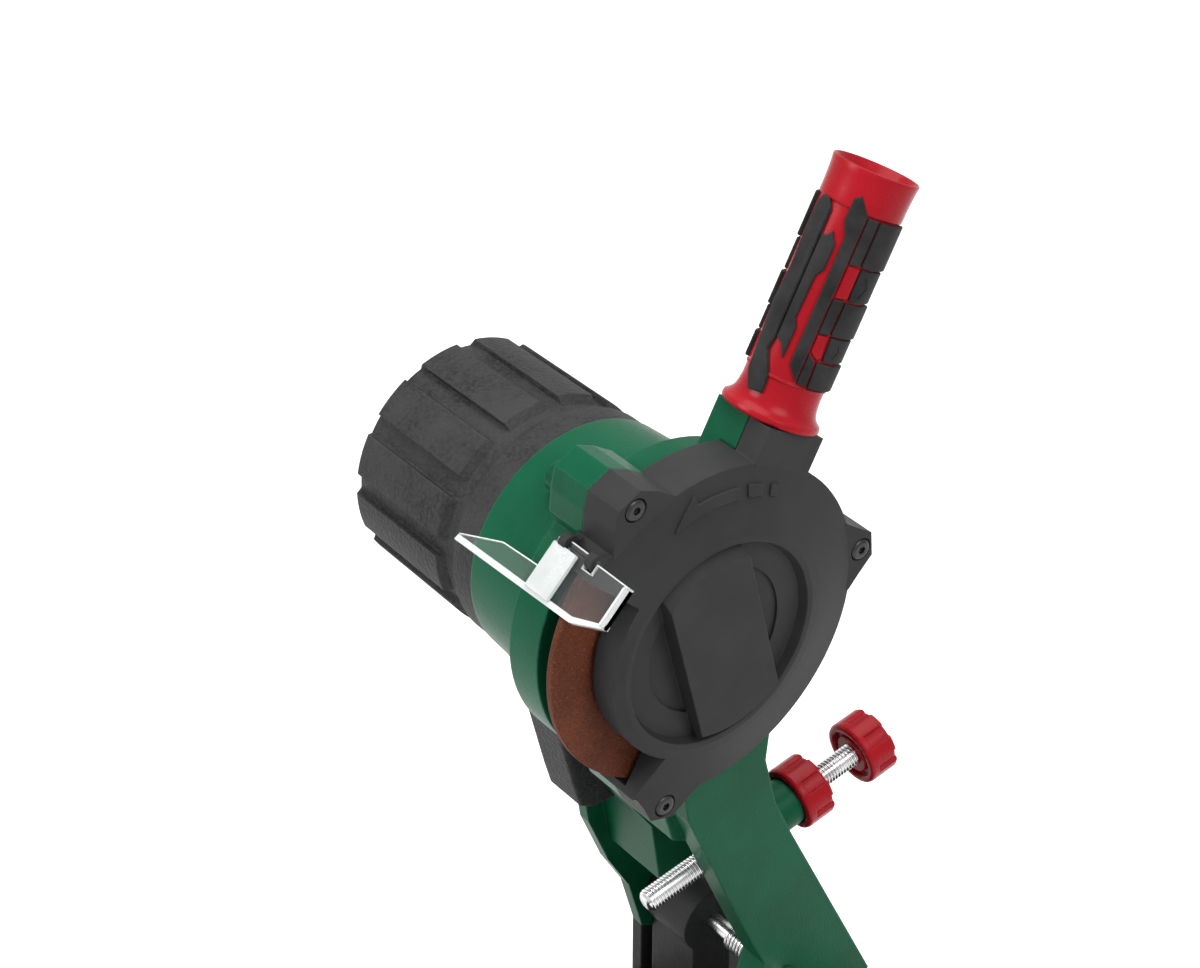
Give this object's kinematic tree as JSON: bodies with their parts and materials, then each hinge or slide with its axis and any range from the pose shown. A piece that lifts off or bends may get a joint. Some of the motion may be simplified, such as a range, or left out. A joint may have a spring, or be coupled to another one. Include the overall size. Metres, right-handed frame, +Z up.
{
  "type": "electric chainsaw sharpener",
  "caption": "Bench-top electric chain sharpener: swinging motor head with guarded disc over a swivelling chain vise.",
  "frame": {"origin": "on the underside of the base plate, in the disc's plane and midway between its front and rear edges", "axes": "+X along the spindle towards the guard cover, -Y towards the user, +Z up from the bench"},
  "size_m": [0.192, 0.259, 0.366],
  "materials": {
    "black_shell": "fine-grained black moulding",
    "motor_black": "coarse-grained black moulding",
    "green_casting": "green painted die casting",
    "red_plastic": "red moulding",
    "grip_rubber": "black rubber",
    "clear_plastic": "clear polycarbonate",
    "abrasive": "resin-bonded abrasive",
    "bright_steel": "zinc-plated steel",
    "dark_steel": "black oxide steel",
    "black_casting": "black powder-coated casting",
    "base_casting": "black coated aluminium",
    "copper": "enamelled copper winding",
    "core_steel": "laminated core steel",
    "carbon": "carbon brush in its holder",
    "fan_plastic": "natural nylon"
  },
  "bodies": {
    "base": {"base_plate": "base_casting", "depth_stop_pad": "bright_steel", "hinge_upright": "black_casting", "upright_bolts": "bright_steel", "hinge_axle": "bright_steel", "axle_nut": "bright_steel", "return_spring": "bright_steel"},
    "head": {"gear_housing": "green_casting", "guard_cover": "black_shell", "cover_screws": "dark_steel", "ball_bearings": "bright_steel", "motor_cover": "motor_black", "motor_stator": "core_steel", "field_windings": "copper", "carbon_brushes": "carbon", "control_housing": "motor_black", "switch_body": "black_shell", "cable_gland": "black_shell", "handle_core": "red_plastic", "handle_grips": "grip_rubber", "handle_stud": "bright_steel", "shield_pin": "bright_steel"},
    "spindle": {"grinding_disc": "abrasive", "disc_inner_flange": "bright_steel", "disc_clamp_nut": "bright_steel", "spindle_shaft": "bright_steel", "rotor": "core_steel", "cooling_fan": "fan_plastic"},
    "rocker": {"switch_rocker": "red_plastic"},
    "shield": {"sight_shield": "clear_plastic"},
    "stop_screw": {"depth_screw": "bright_steel"},
    "stop_knob": {"depth_knob": "red_plastic"},
    "stop_lock": {"depth_lock_knob": "red_plastic"},
    "vise_table": {"turntable": "base_casting", "turntable_bolt": "bright_steel", "turntable_lock_nut": "bright_steel", "jaw_guide_pins": "bright_steel", "chain_stop_bracket": "bright_steel"},
    "sliding_jaw": {"moving_jaw": "bright_steel"},
    "jaw_screw": {"clamp_screw": "bright_steel"},
    "jaw_bar": {"clamp_bar": "bright_steel"},
    "chain_stop": {"chain_stop_carrier": "bright_steel", "pawl_pin": "bright_steel"},
    "pawl": {"chain_stop_pawl": "bright_steel"},
    "chain_stop_wheel": {"chain_stop_screw": "bright_steel", "chain_stop_knob": "red_plastic"}
  },
  "joints": [
    {"name": "head_tilt", "type": "hinge", "parent": "base", "child": "head", "pos_m": [0, 0.07, 0.06], "axis": [1, 0, 0], "range_deg": [0, 41], "stiffness_Nm_per_rad": 3, "springref_deg": -126.05},
    {"name": "disc_spin", "type": "hinge", "parent": "head", "child": "spindle", "pos_m": [0, 0.027, 0.23], "axis": [1, 0, 0], "continuous": true},
    {"name": "switch_rock", "type": "hinge", "parent": "head", "child": "rocker", "pos_m": [-0.0628, 0.033, 0.158], "axis": [0, 1, 0], "range_deg": [-12, 0]},
    {"name": "shield_lift", "type": "hinge", "parent": "head", "child": "shield", "pos_m": [0, -0.0147, 0.2739], "axis": [1, 0, 0], "range_deg": [-75, 0]},
    {"name": "depth_travel", "type": "slide", "parent": "head", "child": "stop_screw", "axis": [0, 0.98, 0.199], "range_m": [-0.011, 0.01]},
    {"name": "depth_turn", "type": "hinge", "parent": "stop_screw", "child": "stop_knob", "pos_m": [-0.012, 0.0202, 0.1119], "axis": [0, -0.98, -0.199], "range_deg": [-2900, 3500]},
    {"name": "depth_lock_turn", "type": "hinge", "parent": "head", "child": "stop_lock", "pos_m": [-0.012, 0.0202, 0.1119], "axis": [0, -0.98, -0.199], "range_deg": [-60, 0]},
    {"name": "table_swing", "type": "hinge", "parent": "base", "child": "vise_table", "pos_m": [0, -0.074, 0.01], "axis": [0, 0, 1], "range_deg": [-35, 35]},
    {"name": "jaw_slide", "type": "slide", "parent": "vise_table", "child": "sliding_jaw", "axis": [0, 1, 0], "range_m": [-0.004, 0.001]},
    {"name": "jaw_screw_turn", "type": "hinge", "parent": "sliding_jaw", "child": "jaw_screw", "pos_m": [0, -0.074, 0.089], "axis": [0, 1, 0], "range_deg": [-1160, 300]},
    {"name": "jaw_bar_slide", "type": "slide", "parent": "jaw_screw", "child": "jaw_bar", "axis": [1, 0, 0], "range_m": [-0.014, 0.014]},
    {"name": "chain_stop_travel", "type": "slide", "parent": "vise_table", "child": "chain_stop", "axis": [1, 0, 0], "range_m": [-0.004, 0.004]},
    {"name": "chain_stop_turn", "type": "hinge", "parent": "vise_table", "child": "chain_stop_wheel", "pos_m": [0.05, -0.074, 0.086], "axis": [-1, 0, 0], "range_deg": [-1850, 1850]},
    {"name": "pawl_lift", "type": "hinge", "parent": "chain_stop", "child": "pawl", "pos_m": [0.0385, -0.074, 0.099], "axis": [0, 1, 0], "range_deg": [0, 65]}
  ],
  "couplings": [
    {"joint": "depth_turn", "follows": "depth_travel", "rad_per_m": -5026.5},
    {"joint": "jaw_screw_turn", "follows": "jaw_slide", "rad_per_m": 5026.5},
    {"joint": "chain_stop_turn", "follows": "chain_stop_travel", "rad_per_m": 7854}
  ]
}
